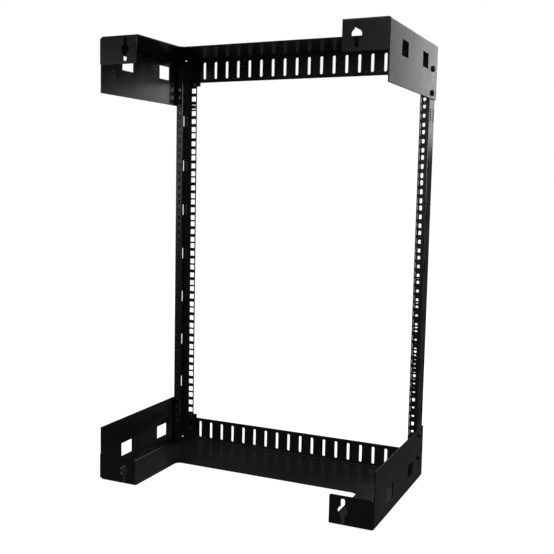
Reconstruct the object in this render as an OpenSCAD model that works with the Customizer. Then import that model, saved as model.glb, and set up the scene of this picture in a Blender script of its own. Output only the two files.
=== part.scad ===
// Two post open frame rack, 15 units high, for hanging on a wall.
// Two folded sheet trays, one the mirror of the other, hold a pair of channel posts.
// The floor is at Z = 0, the wall is at the +Y side and equipment goes in from the -Y side.

/* [Rack] */
// Height of the equipment space in rack units
units = 15; // [6:1:24]
// Width across the two side panels
rack_w = 508; // [500:1:540]
// Depth from the wall to the front rail
rack_d = 306; // [250:1:450]
// Height from each end of the equipment space to the outer face of the tray
tray_reach = 56.6; // [54:0.1:60]
// Thickness of the tray sheet
sheet_t = 2; // [1.5:0.1:2.5]
// Inside radius of every fold in the tray sheet
fold_r = 1.5; // [1:0.1:2]
// Gap left at the corners, where two folded edges meet
seam = 0.5; // [0.3:0.1:1]

/* [Tray cut-out] */
// Width of each arm that reaches back to the wall
arm_w = 75; // [70:1:85]
// Depth of the cut-out between the arms, from the wall
cutout_d = 152; // [100:1:170]
// Corner radius of the cut-out
cutout_r = 11; // [4:1:25]

/* [Side panels] */
// Height of each side panel
side_h = 95; // [90:1:120]
// Length of each window, along the depth
window_l = 38; // [20:1:50]
// Height of each window
window_h = 25; // [15:1:30]
// Distance from the tray's outer face to the window centres
window_drop = 35.7; // [30:0.1:45]
// Distance between the centres of the two windows
window_gap = 130.5; // [70:0.5:140]
// Diameter of the holes for the post bolts
bolt_hole_d = 6.6; // [5:0.1:7]
// Distance from the tray's outer face to the first post bolt
bolt_drop = 44; // [42:0.5:50]
// Distance between the two post bolts
bolt_gap = 41.3; // [35:0.1:42]

/* [Wall flanges] */
// Height of each wall flange
flange_h = 48.2; // [44:0.1:60]
// Step between the arm's inner edge and the flange's inner edge
flange_step = 1.5; // [0.5:0.5:3]
// Radius of the flange's free corners
flange_corner_r = 3; // [1:0.5:6]
// Distance from the side panel's outer face to the keyhole centre
keyhole_inset = 50.8; // [40:0.1:52]
// Distance from the tray's outer face to the keyhole centres
keyhole_drop = 23.5; // [22:0.5:25]
// Diameter of the keyhole's middle
keyhole_d = 16.5; // [14:0.1:17]
// Width of the keyhole's slots
keyslot_w = 7; // [5:0.1:8]
// Length of the keyhole from end to end
keyslot_l = 40; // [30:0.5:42]

/* [Front rail] */
// Height of the front rail
rail_h = 47.5; // [46:0.5:52]
// Depth of the stiffening lip on the rail's free edge
lip_d = 8; // [6:0.5:12]
// Height of the end tabs that are screwed to the posts
tab_h = 54; // [53:0.1:54]
// Distance that each tab reaches past the post's inner edge
tab_reach = 6.5; // [3:0.5:8]
// Number of lacing slots
slot_n = 18; // [8:2:18]
// Distance from the equipment holes to the centre of the last slot
slot_end = 22.85; // [20:0.05:40]
// Width of a lacing slot
slot_w = 5.5; // [4:0.5:8]
// Length of a lacing slot
slot_l = 33; // [20:0.5:34]
// Distance from a slot's end to the rail's free edge
slot_edge = 7; // [5:0.5:8]

/* [Posts] */
// Thickness of the post sheet
post_t = 2; // [1.5:0.1:2.5]
// Inside radius of the post's folds
post_r = 1.2; // [0.8:0.1:1.5]
// Depth of the post's web
post_d = 40; // [36:1:60]
// Width of the front face, with the equipment holes
face_w = 26; // [25.5:0.1:30]
// Width of the rear return
return_w = 14; // [13.5:0.5:18]
// Gap between the end of a post and the tray
post_end_gap = 2; // [1.6:0.1:4]
// Distance from the side panel's outer face to the centre of the equipment holes
hole_inset = 21.45; // [21:0.05:22]
// Side of a square equipment hole
hole_w = 9.5; // [9:0.1:9.6]
// Width of a slot in the rear return
return_slot_w = 5; // [4:0.5:7]
// Length of a slot in the rear return
return_slot_l = 9.5; // [8:0.5:11]
// Distance from the web's outer face to the centre of the return slots
return_slot_in = 8.7; // [7:0.1:9.5]
// Length of a slot in the web
web_slot_l = 23.5; // [15:0.5:30]
// Width of a slot in the web
web_slot_w = 6; // [4:0.5:8]
// Distance from each edge of the web to its slots
web_slot_edge = 9; // [8:0.5:12]

/* [Hidden] */
$fn = 48;
eps = 0.01;

// Standard rack unit, with its three holes spread about its middle
unit_h = 44.45;
hole_step = 15.875;
unit_holes = [for (i = [-1:1]) unit_h / 2 + i * hole_step];

rack_h = units * unit_h + 2 * tray_reach;
half_w = rack_w / 2;
half_d = rack_d / 2;
fold_out = fold_r + sheet_t;
post_fold = post_r + post_t;

// Faces that the posts seat against
side_inner = half_w - sheet_t;
rail_inner = -half_d + sheet_t;
post_rear = rail_inner + post_d;
post_end = sheet_t + post_end_gap;
face_inner = side_inner - face_w;
tab_inner = face_inner - tab_reach;

// Post bolts go through the middle of the rear column of web slots
bolt_y = post_rear - web_slot_edge;

hole_x = half_w - hole_inset;
slot_pitch = 2 * (hole_x - slot_end) / (slot_n - 1);
keyhole_x = half_w - keyhole_inset;
flange_inner = half_w - arm_w + flange_step;

// One more unit of holes runs on behind each tray rail
hole_rows = [for (u = [-1:units]) for (h = unit_holes) tray_reach + u * unit_h + h];
screw_rows = [for (h = [unit_holes[0], unit_holes[2]]) tray_reach - unit_h + h];

// A slot in two units' pitch, counted from the middle of the post
slot_rows = floor((units * unit_h / 2 - side_h + tray_reach - web_slot_l / 2) / (2 * unit_h));

// Flat slot with round ends, centred, its length along the second axis
module slot_2d(w, l) {
    square([w, l - w], center = true);
    for (s = [-1, 1]) {
        translate([0, s * (l - w) / 2]) circle(d = w);
    }
}

// Rectangle in the first quadrant with its far corners rounded
module tongue_2d(w, h, r) {
    square([w, h - r]);
    translate([r, 0]) square([w - 2 * r, h]);
    for (x = [r, w - r]) {
        translate([x, h - r]) circle(r = r);
    }
}

// Section of one fold: a quarter ring from the +Y side round to the +X side
module fold_2d(r_in, t) {
    intersection() {
        difference() {
            circle(r = r_in + t);
            circle(r = r_in);
        }
        square(r_in + t);
    }
}

// Puts a sketch drawn in X and Z into an upright sheet, its back face at Y = 0
module upright(t) {
    translate([0, t, 0]) rotate([90, 0, 0]) linear_extrude(t) children();
}

// Puts a sketch drawn in Y and Z into a sheet across X, from X = 0 up
module sideways(t) {
    rotate([90, 0, 90]) linear_extrude(t) children();
}

// The trays are drawn as the bottom one and mirrored for the top
module as_top() {
    translate([0, 0, rack_h]) mirror([0, 0, 1]) children();
}

// Left is the +X side, seen from the wall
module as_right() {
    mirror([1, 0, 0]) children();
}

// Flat floor of a tray, open to the wall between its two arms
module deck() {
    color("#1d1d1f") difference() {
        translate([-half_w + fold_out, -half_d + fold_out, 0]) {
            cube([rack_w - 2 * fold_out, rack_d - 2 * fold_out, sheet_t]);
        }
        translate([0, half_d, -eps]) linear_extrude(sheet_t + 2 * eps) {
            mirror([0, 1]) translate([-half_w + arm_w, 0]) {
                tongue_2d(rack_w - 2 * arm_w, cutout_d, cutout_r);
            }
        }
    }
}

// Side panel with its two windows and the holes for the post bolts
module side() {
    y_front = rail_inner + seam;
    y_back = half_d - sheet_t - seam;
    fold_front = -half_d + fold_out + seam;
    fold_back = half_d - fold_out - seam;
    color("#1d1d1f") {
        difference() {
            translate([side_inner, 0, 0]) sideways(sheet_t) {
                translate([y_front, fold_out]) square([y_back - y_front, side_h - fold_out]);
            }
            for (s = [-1, 1]) {
                translate([side_inner - eps, s * window_gap / 2 - window_l / 2, window_drop - window_h / 2]) {
                    cube([sheet_t + 2 * eps, window_l, window_h]);
                }
            }
            for (z = [bolt_drop, bolt_drop + bolt_gap]) {
                translate([side_inner - eps, bolt_y, z]) rotate([0, 90, 0]) {
                    cylinder(d = bolt_hole_d, h = sheet_t + 2 * eps);
                }
            }
        }
        translate([half_w - fold_out, fold_back, fold_out]) rotate([90, 0, 0]) {
            linear_extrude(fold_back - fold_front) mirror([0, 1]) fold_2d(fold_r, sheet_t);
        }
    }
}

// Wall flange at the end of an arm, with a keyhole open up and down
module flange() {
    fold_end = half_w - fold_out - seam;
    color("#1d1d1f") {
        translate([0, half_d - sheet_t, 0]) difference() {
            upright(sheet_t) translate([flange_inner, fold_out]) {
                tongue_2d(half_w - seam - flange_inner, flange_h - fold_out, flange_corner_r);
            }
            translate([keyhole_x, -eps, keyhole_drop]) {
                rotate([-90, 0, 0]) cylinder(d = keyhole_d, h = sheet_t + 2 * eps);
                upright(sheet_t + 2 * eps) slot_2d(keyslot_w, keyslot_l);
            }
        }
        translate([flange_inner, half_d - fold_out, fold_out]) {
            sideways(fold_end - flange_inner) mirror([0, 1]) fold_2d(fold_r, sheet_t);
        }
    }
}

// Front rail, with lacing slots and a taller tab at each end
module rail() {
    flat_h = rail_h - fold_out;
    fold_end = half_w - fold_out - seam;
    color("#1d1d1f") {
        translate([0, -half_d, 0]) difference() {
            upright(sheet_t) {
                translate([-half_w + seam, fold_out]) square([rack_w - 2 * seam, flat_h - fold_out]);
                for (s = [0, 1]) {
                    mirror([s, 0]) translate([tab_inner, fold_out]) {
                        square([half_w - seam - tab_inner, tab_h - fold_out]);
                    }
                }
            }
            for (i = [0:slot_n - 1]) {
                translate([(i - (slot_n - 1) / 2) * slot_pitch, -eps, rail_h - slot_edge - slot_l / 2]) {
                    upright(sheet_t + 2 * eps) slot_2d(slot_w, slot_l);
                }
            }
            for (s = [-1, 1], z = screw_rows) {
                translate([s * hole_x, -eps, z]) rotate([-90, 0, 0]) {
                    cylinder(d = bolt_hole_d, h = sheet_t + 2 * eps);
                }
            }
        }
        translate([-fold_end, -half_d + fold_out, fold_out]) {
            sideways(2 * fold_end) rotate(180) fold_2d(fold_r, sheet_t);
        }
    }
}

// Stiffening lip, folded towards the wall along the rail's free edge between the tabs
module rail_lip() {
    lip_end = tab_inner - seam;
    color("#1d1d1f") translate([-lip_end, -half_d + fold_out, rail_h - fold_out]) {
        sideways(2 * lip_end) {
            mirror([1, 0]) fold_2d(fold_r, sheet_t);
            translate([0, fold_r]) square([lip_d - fold_out, sheet_t]);
        }
    }
}

// Section of a post's face or return and the fold beside it, from the fold's centre
module post_flap_2d(w) {
    translate([post_fold - w, post_r]) square([w - post_fold, post_t]);
    fold_2d(post_r, post_t);
}

// Front face of a post, with square equipment holes
module post_face() {
    color("#1d1d1f") difference() {
        translate([side_inner - post_fold, rail_inner + post_fold, post_end]) {
            linear_extrude(rack_h - 2 * post_end) mirror([0, 1]) post_flap_2d(face_w);
        }
        for (z = hole_rows) {
            translate([hole_x, rail_inner + post_t / 2, z]) {
                cube([hole_w, post_t + 2 * eps, hole_w], center = true);
            }
        }
    }
}

// Web of a post, flat against the side panels, with slots and the holes for its bolts
module post_web() {
    color("#1d1d1f") difference() {
        translate([side_inner - post_t, rail_inner + post_fold, post_end]) {
            cube([post_t, post_d - 2 * post_fold, rack_h - 2 * post_end]);
        }
        for (y = [rail_inner + web_slot_edge, bolt_y], k = [-slot_rows:slot_rows]) {
            translate([side_inner - post_t - eps, y, rack_h / 2 + 2 * k * unit_h]) {
                sideways(post_t + 2 * eps) slot_2d(web_slot_w, web_slot_l);
            }
        }
        for (z = [bolt_drop, bolt_drop + bolt_gap], s = [0, 1]) {
            translate([side_inner - post_t - eps, bolt_y, s == 0 ? z : rack_h - z]) rotate([0, 90, 0]) {
                cylinder(d = bolt_hole_d, h = post_t + 2 * eps);
            }
        }
    }
}

// Rear return of a post, with a column of short slots at the heights of the equipment holes
module post_return() {
    color("#1d1d1f") difference() {
        translate([side_inner - post_fold, post_rear - post_fold, post_end]) {
            linear_extrude(rack_h - 2 * post_end) post_flap_2d(return_w);
        }
        for (z = hole_rows) {
            translate([side_inner - return_slot_in, post_rear - post_t - eps, z]) {
                upright(post_t + 2 * eps) slot_2d(return_slot_w, return_slot_l);
            }
        }
    }
}

module top_deck() as_top() deck();
module top_left_side() as_top() side();
module top_right_side() as_top() as_right() side();
module top_left_flange() as_top() flange();
module top_right_flange() as_top() as_right() flange();
module top_rail() as_top() rail();
module top_rail_lip() as_top() rail_lip();
module bottom_deck() deck();
module bottom_left_side() side();
module bottom_right_side() as_right() side();
module bottom_left_flange() flange();
module bottom_right_flange() as_right() flange();
module bottom_rail() rail();
module bottom_rail_lip() rail_lip();
module left_post_face() post_face();
module left_post_web() post_web();
module left_post_return() post_return();
module right_post_face() as_right() post_face();
module right_post_web() as_right() post_web();
module right_post_return() as_right() post_return();

top_deck();
top_left_side();
top_right_side();
top_left_flange();
top_right_flange();
top_rail();
top_rail_lip();
bottom_deck();
bottom_left_side();
bottom_right_side();
bottom_left_flange();
bottom_right_flange();
bottom_rail();
bottom_rail_lip();
left_post_face();
left_post_web();
left_post_return();
right_post_face();
right_post_web();
right_post_return();
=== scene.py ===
import math

import bmesh
import bpy
from mathutils import Matrix, Vector
from mathutils.bvhtree import BVHTree


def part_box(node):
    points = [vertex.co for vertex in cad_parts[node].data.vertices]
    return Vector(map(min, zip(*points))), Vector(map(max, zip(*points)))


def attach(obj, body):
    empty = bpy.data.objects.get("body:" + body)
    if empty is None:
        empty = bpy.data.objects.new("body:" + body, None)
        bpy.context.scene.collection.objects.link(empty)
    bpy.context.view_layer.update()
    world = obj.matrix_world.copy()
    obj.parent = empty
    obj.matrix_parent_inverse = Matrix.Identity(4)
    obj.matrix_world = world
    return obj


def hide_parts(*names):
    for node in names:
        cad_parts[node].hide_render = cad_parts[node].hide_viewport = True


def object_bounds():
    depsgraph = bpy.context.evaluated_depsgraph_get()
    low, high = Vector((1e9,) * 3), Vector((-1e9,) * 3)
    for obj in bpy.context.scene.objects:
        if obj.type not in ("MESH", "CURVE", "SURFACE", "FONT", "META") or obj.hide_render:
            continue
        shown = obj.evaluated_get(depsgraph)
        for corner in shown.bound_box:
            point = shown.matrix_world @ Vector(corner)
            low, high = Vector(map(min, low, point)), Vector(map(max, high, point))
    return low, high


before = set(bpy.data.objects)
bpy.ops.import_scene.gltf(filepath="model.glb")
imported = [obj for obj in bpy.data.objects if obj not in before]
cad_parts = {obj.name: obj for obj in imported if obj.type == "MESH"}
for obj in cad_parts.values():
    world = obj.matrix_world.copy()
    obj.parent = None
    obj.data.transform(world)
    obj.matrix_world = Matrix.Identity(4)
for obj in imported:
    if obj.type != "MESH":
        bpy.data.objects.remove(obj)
cad_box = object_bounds()

# ---------------------------------------------------------------- Camera
# The rack is seen from its wall side, from the right and a little above the middle.
# A long lens stands about a metre and a half away, rolled by under a degree.
rack_low, rack_high = Vector(cad_box[0]), Vector(cad_box[1])
camera_place = Vector((-0.6256, 1.4443, 0.5319))
camera_aim = Vector((0.0, 0.1886, 0.3845))
camera_roll = math.radians(0.82)
camera_data = bpy.data.cameras.new("studio_camera")
camera_data.sensor_width = 36.0
camera_data.lens = 57.5
camera_data.shift_x = 0.103
camera_data.clip_start = 0.05
camera = bpy.data.objects.new("studio_camera", camera_data)
scene = bpy.context.scene
scene.collection.objects.link(camera)
camera_turn = (camera_aim - camera_place).to_track_quat("-Z", "Y").to_matrix()
camera_turn = camera_turn @ Matrix.Rotation(camera_roll, 3, "Z")
camera.matrix_world = Matrix.Translation(camera_place) @ camera_turn.to_4x4()
scene.camera = camera

# ---------------------------------------------------------------- Studio
# A white sweep with a few plain softboxes. The big one stands close behind the rack on the
# right and grazes the outer faces; the others are dim and fill the folds from the wall side.
scene.view_settings.view_transform = "Standard"

studio_air = bpy.data.worlds.new("studio_air")
scene.world = studio_air
studio_air.use_nodes = True
air = studio_air.node_tree
air.nodes.clear()
air_out = air.nodes.new("ShaderNodeOutputWorld")
air_mix = air.nodes.new("ShaderNodeMixShader")
air_path = air.nodes.new("ShaderNodeLightPath")
air_room = air.nodes.new("ShaderNodeBackground")
air_room.inputs["Color"].default_value = (1.0, 1.0, 1.0, 1.0)
air_room.inputs["Strength"].default_value = 0.05
air_sweep = air.nodes.new("ShaderNodeBackground")
air_sweep.inputs["Color"].default_value = (1.0, 1.0, 1.0, 1.0)
air_sweep.inputs["Strength"].default_value = 1.0
air.links.new(air_path.outputs["Is Camera Ray"], air_mix.inputs[0])
air.links.new(air_room.outputs[0], air_mix.inputs[1])
air.links.new(air_sweep.outputs[0], air_mix.inputs[2])
air.links.new(air_mix.outputs[0], air_out.inputs["Surface"])

floor_reach = 80.0
floor_gap = 0.0005
floor_mesh = bpy.data.meshes.new("floor")
floor_corners = [(-floor_reach, -floor_reach, 0), (floor_reach, -floor_reach, 0)]
floor_corners += [(floor_reach, floor_reach, 0), (-floor_reach, floor_reach, 0)]
floor_mesh.from_pydata(floor_corners, [], [(0, 1, 2, 3)])
floor = bpy.data.objects.new("floor", floor_mesh)
floor.location.z = rack_low.z - floor_gap
scene.collection.objects.link(floor)
floor_paint = bpy.data.materials.new("white_floor")
floor_paint.use_nodes = True
floor_tree = floor_paint.node_tree
floor_coat = floor_tree.nodes["Principled BSDF"]
floor_coat.inputs["Base Color"].default_value = (0.8, 0.8, 0.8, 1.0)
floor_coat.inputs["Roughness"].default_value = 0.9
floor_coat.inputs["Specular IOR Level"].default_value = 0.0
floor_coat.inputs["Emission Color"].default_value = (1.0, 1.0, 1.0, 1.0)
floor_place = floor_tree.nodes.new("ShaderNodeTexCoord")
floor_far = floor_tree.nodes.new("ShaderNodeVectorMath")
floor_far.operation = "LENGTH"
floor_glow = floor_tree.nodes.new("ShaderNodeMapRange")
floor_glow.inputs["From Min"].default_value = 0.3
floor_glow.inputs["From Max"].default_value = 2.5
floor_glow.inputs["To Min"].default_value = 0.86
floor_glow.inputs["To Max"].default_value = 1.0
floor_tree.links.new(floor_place.outputs["Object"], floor_far.inputs[0])
floor_tree.links.new(floor_far.outputs["Value"], floor_glow.inputs["Value"])
floor_tree.links.new(floor_glow.outputs["Result"], floor_coat.inputs["Emission Strength"])
floor_mesh.materials.append(floor_paint)
floor.visible_glossy = False
floor.visible_diffuse = False


def softbox(name, place, target, size, watts):
    """A rectangular area light turned to its target. The camera doesn't see it, but gloss does."""
    data = bpy.data.lights.new(name, "AREA")
    data.shape = "RECTANGLE"
    data.size, data.size_y = size
    data.energy = watts
    light = bpy.data.objects.new(name, data)
    scene.collection.objects.link(light)
    place = Vector(place)
    turn = (Vector(target) - place).to_track_quat("-Z", "Y").to_matrix().to_4x4()
    light.matrix_world = Matrix.Translation(place) @ turn
    light.visible_camera = False


softbox("close_behind", (-0.25, -1.50, 1.07), (-0.25, 0.0, 1.07), (0.75, 0.8), 4.0)
softbox("far_right", (-2.2, -1.0, 0.72), (0.2, 0.0, 0.6), (0.4, 0.4), 12)
softbox("wall_left", (1.05, 1.35, 0.62), (0.1, 0.0, 0.6), (0.35, 0.5), 1.0)
softbox("wall_side", (-0.6, 3.2, 1.3), (0.0, 0.0, 0.4), (2.6, 2.2), 14)
softbox("overhead", (0.0, 0.3, 2.6), (0.0, 0.0, 0.0), (2.4, 2.4), 18)

# ---------------------------------------------------------------- Trays
# Two trays, one the mirror of the other, each cut and punched from one 2 mm steel sheet and
# folded: a deck, two side panels with a wall flange each, and a front rail with its lip.
# All of it is powder coated black after folding, so every cut edge is a little rounded.
coat_black = (0.010, 0.010, 0.011)
# Edge colour: the coat running thin on the cut edges, plus a painted highlight along them.
thin_coat_and_highlight_colour = (0.030, 0.030, 0.031)
coat_gloss = 0.25
sheet_thick = 0.002
edge_round = 0.0003
sheet_touch = 0.00005
same_point = 0.000001
flat_within = math.radians(0.5)
cut_edge_from = math.radians(30)
crease_from = math.radians(50)


def powder_coat(name):
    """Satin black powder coat: drifts in depth and gloss, orange peel, and lighter on the edges,
    partly a thin coat and partly a painted highlight.
    """
    paint = bpy.data.materials.new(name)
    paint.use_nodes = True
    tree = paint.node_tree
    coat = tree.nodes["Principled BSDF"]
    coat.inputs["Specular IOR Level"].default_value = 0.5
    place = tree.nodes.new("ShaderNodeTexCoord")

    drift = tree.nodes.new("ShaderNodeTexNoise")
    drift.inputs["Scale"].default_value = 24.0
    drift.inputs["Detail"].default_value = 5.0
    drift.inputs["Roughness"].default_value = 0.6
    tree.links.new(place.outputs["Object"], drift.inputs["Vector"])
    depth = tree.nodes.new("ShaderNodeMix")
    depth.data_type = "RGBA"
    depth.inputs["A"].default_value = (*[c * 0.8 for c in coat_black], 1.0)
    depth.inputs["B"].default_value = (*[c * 1.25 for c in coat_black], 1.0)
    tree.links.new(drift.outputs["Fac"], depth.inputs["Factor"])

    # Sharp edges, found by pointiness, are painted lighter: partly the coat running thin, partly a
    # painted highlight.
    ridge = tree.nodes.new("ShaderNodeNewGeometry")
    thin_coat_and_highlight_mask = tree.nodes.new("ShaderNodeMapRange")
    thin_coat_and_highlight_mask.inputs["From Min"].default_value = 0.53
    thin_coat_and_highlight_mask.inputs["From Max"].default_value = 0.62
    tree.links.new(ridge.outputs["Pointiness"], thin_coat_and_highlight_mask.inputs["Value"])
    thin_coat_and_highlight_mix = tree.nodes.new("ShaderNodeMix")
    thin_coat_and_highlight_mix.data_type = "RGBA"
    thin_coat_and_highlight_mix.inputs["B"].default_value = (*thin_coat_and_highlight_colour, 1.0)
    tree.links.new(thin_coat_and_highlight_mask.outputs["Result"], thin_coat_and_highlight_mix.inputs["Factor"])
    tree.links.new(depth.outputs["Result"], thin_coat_and_highlight_mix.inputs["A"])
    tree.links.new(thin_coat_and_highlight_mix.outputs["Result"], coat.inputs["Base Color"])

    gloss = tree.nodes.new("ShaderNodeMapRange")
    gloss.inputs["From Min"].default_value = 0.3
    gloss.inputs["From Max"].default_value = 0.7
    gloss.inputs["To Min"].default_value = coat_gloss - 0.035
    gloss.inputs["To Max"].default_value = coat_gloss + 0.035
    tree.links.new(drift.outputs["Fac"], gloss.inputs["Value"])
    tree.links.new(gloss.outputs["Result"], coat.inputs["Roughness"])

    peel = tree.nodes.new("ShaderNodeTexNoise")
    peel.inputs["Scale"].default_value = 650.0
    peel.inputs["Detail"].default_value = 3.0
    tree.links.new(place.outputs["Object"], peel.inputs["Vector"])
    bump = tree.nodes.new("ShaderNodeBump")
    bump.inputs["Strength"].default_value = 0.6
    bump.inputs["Distance"].default_value = 0.00002
    tree.links.new(peel.outputs["Fac"], bump.inputs["Height"])
    tree.links.new(bump.outputs["Normal"], coat.inputs["Normal"])
    return paint


black_coat = powder_coat("black_powder_coat")


def folded_side(name, node_name, sheet):
    """One flat side of a folded sheet, its cut edges rounded and its fold lines left whole."""
    shape = bmesh.new()
    shape.from_mesh(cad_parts[node_name].data)
    bmesh.ops.remove_doubles(shape, verts=shape.verts, dist=same_point)
    bmesh.ops.dissolve_limit(
        shape, angle_limit=flat_within, verts=shape.verts, edges=shape.edges
    )
    neighbours = []
    for other in sheet:
        if other != node_name:
            solid = bmesh.new()
            solid.from_mesh(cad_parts[other].data)
            neighbours.append(BVHTree.FromBMesh(solid))
            solid.free()
    cut_edges = []
    for edge in shape.edges:
        if len(edge.link_faces) == 2 and edge.calc_face_angle() > cut_edge_from:
            middle = (edge.verts[0].co + edge.verts[1].co) / 2
            if not any(tree.find_nearest(middle, sheet_touch)[0] for tree in neighbours):
                cut_edges.append(edge)
    bmesh.ops.bevel(
        shape, geom=cut_edges, offset=edge_round, offset_type="OFFSET", segments=2,
        profile=0.5, affect="EDGES", clamp_overlap=True, loop_slide=True,
    )
    mesh = bpy.data.meshes.new(name)
    shape.to_mesh(mesh)
    shape.free()
    mesh.shade_smooth()
    mesh.set_sharp_from_angle(angle=crease_from)
    mesh.materials.append(black_coat)
    piece = bpy.data.objects.new(name, mesh)
    scene.collection.objects.link(piece)
    flats = piece.modifiers.new("flats", "WEIGHTED_NORMAL")
    flats.mode = "FACE_AREA"
    flats.keep_sharp = True
    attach(piece, "root")
    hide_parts(node_name)


for tray, level in (("upper_tray", "top"), ("lower_tray", "bottom")):
    sides = ("deck", "left_side", "right_side", "left_flange", "right_flange", "rail", "rail_lip")
    sheet = [f"{level}_{side}" for side in sides]
    for side, node_name in zip(sides, sheet):
        folded_side(f"{tray}_{side}", node_name, sheet)

# ---------------------------------------------------------------- Posts
# Two channels of the same sheet: the face has the square equipment holes, the web lies
# against the side panels, and the return stiffens the rear with its column of short slots.
for hand in ("left", "right"):
    sides = ("face", "web", "return")
    sheet = [f"{hand}_post_{side}" for side in sides]
    for side, node_name in zip(sides, sheet):
        folded_side(f"{hand}_channel_{side}", node_name, sheet)

# ---------------------------------------------------------------- Post bolts
# Eight M6 button head bolts, black oxide steel, clamp the side panels to the post webs. Each
# has a hex socket outside, and inside the channel a washer, a hex nut and its threaded end.
bolt_black = (0.016, 0.016, 0.017)
bolt_edge = (0.10, 0.10, 0.105)
bolt_head_w = 0.0110
bolt_head_h = 0.0033
bolt_socket_w = 0.0040
bolt_thread_w = 0.0060
bolt_pitch = 0.0010
washer_w = 0.0120
washer_h = 0.0010
nut_flats = 0.0100
nut_h = 0.0050
thread_past_nut = 0.0015
bolt_crease_from = math.radians(32)
spin_seed = 7
pole_merge = 0.000005


def oxide_steel(name):
    """Black oxide on turned steel: oily and mottled, with brighter metal on the edges."""
    paint = bpy.data.materials.new(name)
    paint.use_nodes = True
    tree = paint.node_tree
    steel = tree.nodes["Principled BSDF"]
    steel.inputs["Metallic"].default_value = 0.35
    steel.inputs["Specular IOR Level"].default_value = 0.5
    place = tree.nodes.new("ShaderNodeTexCoord")
    mottle = tree.nodes.new("ShaderNodeTexNoise")
    mottle.inputs["Scale"].default_value = 420.0
    mottle.inputs["Detail"].default_value = 4.0
    tree.links.new(place.outputs["Object"], mottle.inputs["Vector"])
    oxide = tree.nodes.new("ShaderNodeMix")
    oxide.data_type = "RGBA"
    oxide.inputs["A"].default_value = (*[c * 0.7 for c in bolt_black], 1.0)
    oxide.inputs["B"].default_value = (*[c * 1.4 for c in bolt_black], 1.0)
    tree.links.new(mottle.outputs["Fac"], oxide.inputs["Factor"])
    ridge = tree.nodes.new("ShaderNodeNewGeometry")
    rubbed = tree.nodes.new("ShaderNodeMapRange")
    rubbed.inputs["From Min"].default_value = 0.55
    rubbed.inputs["From Max"].default_value = 0.75
    tree.links.new(ridge.outputs["Pointiness"], rubbed.inputs["Value"])
    skin = tree.nodes.new("ShaderNodeMix")
    skin.data_type = "RGBA"
    skin.inputs["B"].default_value = (*bolt_edge, 1.0)
    tree.links.new(rubbed.outputs["Result"], skin.inputs["Factor"])
    tree.links.new(oxide.outputs["Result"], skin.inputs["A"])
    tree.links.new(skin.outputs["Result"], steel.inputs["Base Color"])
    sheen = tree.nodes.new("ShaderNodeMapRange")
    sheen.inputs["To Min"].default_value = 0.24
    sheen.inputs["To Max"].default_value = 0.42
    tree.links.new(mottle.outputs["Fac"], sheen.inputs["Value"])
    tree.links.new(sheen.outputs["Result"], steel.inputs["Roughness"])
    bump = tree.nodes.new("ShaderNodeBump")
    bump.inputs["Strength"].default_value = 0.3
    bump.inputs["Distance"].default_value = 0.00001
    tree.links.new(mottle.outputs["Fac"], bump.inputs["Height"])
    tree.links.new(bump.outputs["Normal"], steel.inputs["Normal"])
    return paint


black_oxide = oxide_steel("black_oxide_steel")


def hardware_tree(name, sizes):
    """An empty node tree that takes screw places and the named sizes, in metres."""
    tree = bpy.data.node_groups.new(name, "GeometryNodeTree")
    tree.interface.new_socket("Places", in_out="INPUT", socket_type="NodeSocketGeometry")
    for label, size in sizes.items():
        knob = tree.interface.new_socket(label, in_out="INPUT", socket_type="NodeSocketFloat")
        knob.default_value = size
    tree.interface.new_socket("Finish", in_out="INPUT", socket_type="NodeSocketMaterial")
    tree.interface.new_socket("Hardware", in_out="OUTPUT", socket_type="NodeSocketGeometry")
    return tree, tree.nodes.new("NodeGroupInput")


def reckoned(tree, operation, first, second=0.0):
    """A Math node on two values, each a socket or a plain number."""
    node = tree.nodes.new("ShaderNodeMath")
    node.operation = operation
    for socket, value in zip(node.inputs, (first, second)):
        if isinstance(value, bpy.types.NodeSocket):
            tree.links.new(value, socket)
        else:
            socket.default_value = value
    return node.outputs[0]


def turned(tree, profile, corners, wide, tall, lift):
    """A closed solid turned from a profile of (radius, height) shares, or a prism with corners."""
    grid = tree.nodes.new("GeometryNodeMeshGrid")
    grid.inputs["Vertices X"].default_value = corners + 1
    grid.inputs["Vertices Y"].default_value = len(profile)
    index = tree.nodes.new("GeometryNodeInputIndex").outputs[0]
    ring = reckoned(tree, "MODULO", index, len(profile))
    step = reckoned(tree, "FLOOR", reckoned(tree, "DIVIDE", index, len(profile)))
    angle = reckoned(tree, "MULTIPLY", step, 2 * math.pi / corners)
    point = tree.nodes.new("GeometryNodeIndexSwitch")
    point.data_type = "VECTOR"
    for _ in range(len(profile) - 2):
        point.index_switch_items.new()
    tree.links.new(ring, point.inputs["Index"])
    for slot, (radius, height) in enumerate(profile):
        point.inputs[slot + 1].default_value = (radius, 0.0, height)
    share = tree.nodes.new("ShaderNodeSeparateXYZ")
    tree.links.new(point.outputs[0], share.inputs[0])
    radius = reckoned(tree, "MULTIPLY", share.outputs["X"], wide)
    height = reckoned(tree, "ADD", reckoned(tree, "MULTIPLY", share.outputs["Z"], tall), lift)
    place = tree.nodes.new("ShaderNodeCombineXYZ")
    across = reckoned(tree, "MULTIPLY", radius, reckoned(tree, "COSINE", angle))
    along = reckoned(tree, "MULTIPLY", radius, reckoned(tree, "SINE", angle))
    tree.links.new(across, place.inputs["X"])
    tree.links.new(along, place.inputs["Y"])
    tree.links.new(height, place.inputs["Z"])
    shape = tree.nodes.new("GeometryNodeSetPosition")
    tree.links.new(grid.outputs["Mesh"], shape.inputs["Geometry"])
    tree.links.new(place.outputs[0], shape.inputs["Position"])
    closed = tree.nodes.new("GeometryNodeMergeByDistance")
    closed.inputs["Distance"].default_value = pole_merge
    tree.links.new(shape.outputs["Geometry"], closed.inputs["Geometry"])
    return closed.outputs["Geometry"]


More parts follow.
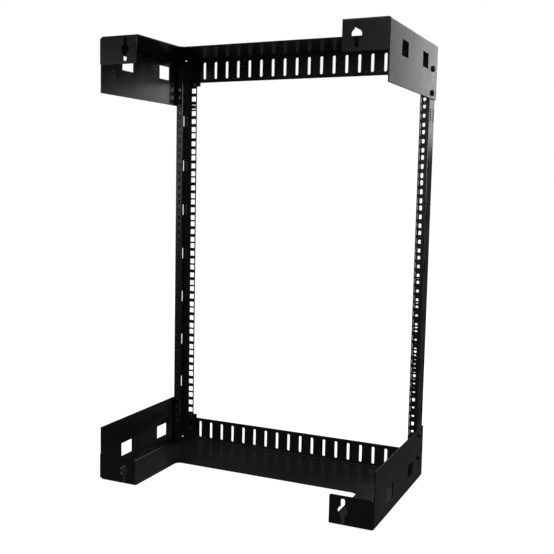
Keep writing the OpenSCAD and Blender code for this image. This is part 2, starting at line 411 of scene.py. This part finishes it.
def set_in_place(tree, inputs, parts):
    """Puts the joined parts at every place, along its outward arrow, with a spin of its own."""
    one = tree.nodes.new("GeometryNodeJoinGeometry")
    for part in parts:
        tree.links.new(part, one.inputs["Geometry"])
    outward = tree.nodes.new("GeometryNodeInputNamedAttribute")
    outward.data_type = "FLOAT_VECTOR"
    outward.inputs["Name"].default_value = "outward"
    aim = tree.nodes.new("FunctionNodeAlignRotationToVector")
    aim.axis = "Z"
    tree.links.new(outward.outputs["Attribute"], aim.inputs["Vector"])
    copies = tree.nodes.new("GeometryNodeInstanceOnPoints")
    tree.links.new(inputs.outputs["Places"], copies.inputs["Points"])
    tree.links.new(one.outputs["Geometry"], copies.inputs["Instance"])
    tree.links.new(aim.outputs["Rotation"], copies.inputs["Rotation"])
    spin = tree.nodes.new("FunctionNodeRandomValue")
    spin.data_type = "FLOAT"
    spin.inputs["Max"].default_value = 2 * math.pi
    spin.inputs["Seed"].default_value = spin_seed
    about = tree.nodes.new("ShaderNodeCombineXYZ")
    tree.links.new(spin.outputs["Value"], about.inputs["Z"])
    spun = tree.nodes.new("GeometryNodeRotateInstances")
    tree.links.new(copies.outputs["Instances"], spun.inputs["Instances"])
    tree.links.new(about.outputs[0], spun.inputs["Rotation"])
    real = tree.nodes.new("GeometryNodeRealizeInstances")
    tree.links.new(spun.outputs["Instances"], real.inputs["Geometry"])
    finish = tree.nodes.new("GeometryNodeSetMaterial")
    tree.links.new(real.outputs["Geometry"], finish.inputs["Geometry"])
    tree.links.new(inputs.outputs["Finish"], finish.inputs["Material"])
    result = tree.nodes.new("NodeGroupOutput")
    tree.links.new(finish.outputs["Geometry"], result.inputs["Hardware"])


def bolt_tree():
    """A button head bolt: domed head, hex socket, and a threaded shank below the head's seat."""
    sizes = {"Head width": 0.01, "Head height": 0.003, "Socket width": 0.004}
    sizes |= {"Thread width": 0.006, "Thread pitch": 0.001, "Length": 0.012}
    tree, inputs = hardware_tree("button_head_bolt", sizes)
    dome = ((0, 0), (0.97, 0), (1, 0.06), (1, 0.22), (0.95, 0.48))
    dome += ((0.84, 0.74), (0.68, 0.93), (0.56, 1), (0, 1))
    head_r = reckoned(tree, "DIVIDE", inputs.outputs["Head width"], 2.0)
    head = turned(tree, dome, 28, head_r, inputs.outputs["Head height"], 0.0)
    socket_r = reckoned(tree, "DIVIDE", inputs.outputs["Socket width"], math.sqrt(3.0))
    socket_deep = reckoned(tree, "MULTIPLY", inputs.outputs["Head height"], 0.62)
    socket_low = reckoned(tree, "SUBTRACT", inputs.outputs["Head height"], socket_deep)
    well = turned(tree, ((0, 0), (1, 0), (1, 1.4), (0, 1.4)), 6, socket_r, socket_deep, socket_low)
    cut = tree.nodes.new("GeometryNodeMeshBoolean")
    cut.operation = "DIFFERENCE"
    cut.solver = "EXACT"
    tree.links.new(head, cut.inputs["Mesh 1"])
    tree.links.new(well, cut.inputs["Mesh 2"])
    ridges = 9
    thread = [(0, 0), (0.72, 0), (0.86, 0.4)]
    for turn in range(ridges):
        thread += [(1.0, 0.9 + turn), (0.84, 1.4 + turn)]
    thread += [(0.97, ridges + 0.9), (0.97, ridges + 1.4), (0, ridges + 1.4)]
    thread_r = reckoned(tree, "DIVIDE", inputs.outputs["Thread width"], 2.0)
    tip = reckoned(tree, "MULTIPLY", inputs.outputs["Length"], -1.0)
    shank = turned(tree, thread, 20, thread_r, inputs.outputs["Thread pitch"], tip)
    set_in_place(tree, inputs, (cut.outputs["Mesh"], shank))
    return tree


def nut_tree():
    """A plain washer against the sheet and a chamfered hex nut on it."""
    sizes = {"Washer width": 0.012, "Washer height": 0.001}
    sizes |= {"Nut flats": 0.01, "Nut height": 0.005}
    tree, inputs = hardware_tree("hex_nut_and_washer", sizes)
    disc = ((0, 0), (1, 0), (1, 0.85), (0.98, 1), (0, 1))
    washer_r = reckoned(tree, "DIVIDE", inputs.outputs["Washer width"], 2.0)
    washer_top = inputs.outputs["Washer height"]
    washer = turned(tree, disc, 28, washer_r, washer_top, 0.0)
    block = ((0, 0), (0.94, 0), (1, 0.1), (1, 0.9), (0.94, 1), (0.62, 1), (0.56, 0.94), (0, 0.94))
    nut_r = reckoned(tree, "DIVIDE", inputs.outputs["Nut flats"], math.sqrt(3.0))
    nut = turned(tree, block, 6, nut_r, inputs.outputs["Nut height"], washer_top)
    set_in_place(tree, inputs, (washer, nut))
    return tree


def fit_hardware(name, tree, places, sizes, finish):
    """Runs a hardware tree on (place, outward) pairs and keeps the result as one plain mesh."""
    points = bpy.data.meshes.new(f"{name}_places")
    points.from_pydata([place for place, _ in places], [], [])
    arrows = points.attributes.new("outward", "FLOAT_VECTOR", "POINT")
    for arrow, (_, outward) in zip(arrows.data, places):
        arrow.vector = outward
    maker = bpy.data.objects.new(f"{name}_maker", points)
    scene.collection.objects.link(maker)
    modifier = maker.modifiers.new("hardware", "NODES")
    modifier.node_group = tree
    for socket in tree.interface.items_tree:
        if socket.in_out == "INPUT" and socket.name in sizes:
            modifier[socket.identifier] = sizes[socket.name]
        if socket.in_out == "INPUT" and socket.name == "Finish":
            modifier[socket.identifier] = finish
    bpy.context.view_layer.update()
    ready = maker.evaluated_get(bpy.context.evaluated_depsgraph_get())
    mesh = bpy.data.meshes.new_from_object(ready)
    maker.modifiers.clear()
    bpy.data.objects.remove(maker)
    shape = bmesh.new()
    shape.from_mesh(mesh)
    bmesh.ops.recalc_face_normals(shape, faces=shape.faces)
    shape.to_mesh(mesh)
    shape.free()
    mesh.name = name
    mesh.shade_smooth()
    mesh.set_sharp_from_angle(angle=bolt_crease_from)
    piece = bpy.data.objects.new(name, mesh)
    scene.collection.objects.link(piece)
    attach(piece, "root")


side_outer = rack_high.x
side_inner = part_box("left_post_web")[0][0]
return_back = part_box("left_post_return")[1][1]
bolt_from_back = 0.009
bolt_outer_rise = 0.044
bolt_inner_rise = 0.0853
bolt_y = return_back - bolt_from_back
bolt_levels = [rack_low.z + bolt_outer_rise, rack_low.z + bolt_inner_rise]
bolt_levels += [rack_high.z - bolt_inner_rise, rack_high.z - bolt_outer_rise]
outside, inside = [], []
for hand in (1, -1):
    for level in bolt_levels:
        outside.append(((hand * side_outer, bolt_y, level), (hand, 0, 0)))
        inside.append(((hand * side_inner, bolt_y, level), (-hand, 0, 0)))
bolt_sizes = {"Head width": bolt_head_w, "Head height": bolt_head_h}
bolt_sizes |= {"Socket width": bolt_socket_w, "Thread width": bolt_thread_w}
bolt_sizes |= {"Thread pitch": bolt_pitch}
nut_sizes = {"Washer width": washer_w, "Washer height": washer_h}
nut_sizes |= {"Nut flats": nut_flats, "Nut height": nut_h}
post_bolt_length = side_outer - side_inner + washer_h + nut_h + thread_past_nut
button_head_bolt = bolt_tree()
nut_and_washer = nut_tree()
fit_hardware(
    "post_bolts", button_head_bolt, outside, bolt_sizes | {"Length": post_bolt_length}, black_oxide
)
fit_hardware("post_bolt_nuts", nut_and_washer, inside, nut_sizes, black_oxide)

# ---------------------------------------------------------------- Rail screws
# Eight more of the same screws hold the rails' end tabs to the post faces: the heads are on
# the equipment side, the nuts in the channels.
rail_front = rack_low.y
face_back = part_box("left_post_face")[0][1] + sheet_thick
hole_inset = 0.02145
screw_outer_rise = 0.0185
screw_inner_rise = 0.05025
hole_x = side_outer - hole_inset
screw_levels = [rack_low.z + screw_outer_rise, rack_low.z + screw_inner_rise]
screw_levels += [rack_high.z - screw_inner_rise, rack_high.z - screw_outer_rise]
outside, inside = [], []
for hand in (1, -1):
    for level in screw_levels:
        outside.append(((hand * hole_x, rail_front, level), (0, -1, 0)))
        inside.append(((hand * hole_x, face_back, level), (0, 1, 0)))
rail_screw_length = face_back - rail_front + washer_h + nut_h + thread_past_nut
fit_hardware(
    "rail_screws", button_head_bolt, outside, bolt_sizes | {"Length": rail_screw_length}, black_oxide
)
fit_hardware("rail_screw_nuts", nut_and_washer, inside, nut_sizes, black_oxide)

# ---------------------------------------------------------------- Cage nut
# One cage nut sits in the lowest square hole of the left post's top unit: a small steel block
# with a shallow recess for its bore, and a clip ear in each side of the hole.
nut_rise = 0.68525
nut_level = rack_low.z + nut_rise
block_size = (0.0104, 0.0042, 0.0064)
block_chamfer = 0.0004
recess_border = 0.0011
recess_deep = 0.0016
ear_size = (0.0005, 0.0040, 0.0052)
ear_chamfer = 0.0001
ear_reach = 0.0044


def chamfered_block(shape, size, middle, chamfer):
    """Adds a block with its edges chamfered."""
    made = bmesh.ops.create_cube(shape, size=1.0)["verts"]
    bmesh.ops.scale(shape, vec=size, verts=made)
    bmesh.ops.translate(shape, vec=middle, verts=made)
    corners = set(made)
    edges = [edge for edge in shape.edges if edge.verts[0] in corners]
    bmesh.ops.bevel(shape, geom=edges, offset=chamfer, segments=2, profile=0.5, affect="EDGES")


cage = bmesh.new()
block_middle = Vector((hole_x, face_back + block_size[1] / 2, nut_level))
chamfered_block(cage, block_size, block_middle, block_chamfer)
bore_face = max(cage.faces, key=lambda face: face.calc_center_median().y)
bmesh.ops.inset_region(cage, faces=[bore_face], thickness=recess_border, depth=0.0)
bmesh.ops.translate(cage, vec=(0, -recess_deep, 0), verts=bore_face.verts)
for ear in (1, -1):
    ear_middle = Vector((hole_x + ear * ear_reach, face_back - sheet_thick / 2, nut_level))
    chamfered_block(cage, ear_size, ear_middle, ear_chamfer)
bmesh.ops.recalc_face_normals(cage, faces=cage.faces)
cage_mesh = bpy.data.meshes.new("cage_nut")
cage.to_mesh(cage_mesh)
cage.free()
cage_mesh.materials.append(black_oxide)
cage_nut = bpy.data.objects.new("cage_nut", cage_mesh)
scene.collection.objects.link(cage_nut)
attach(cage_nut, "root")
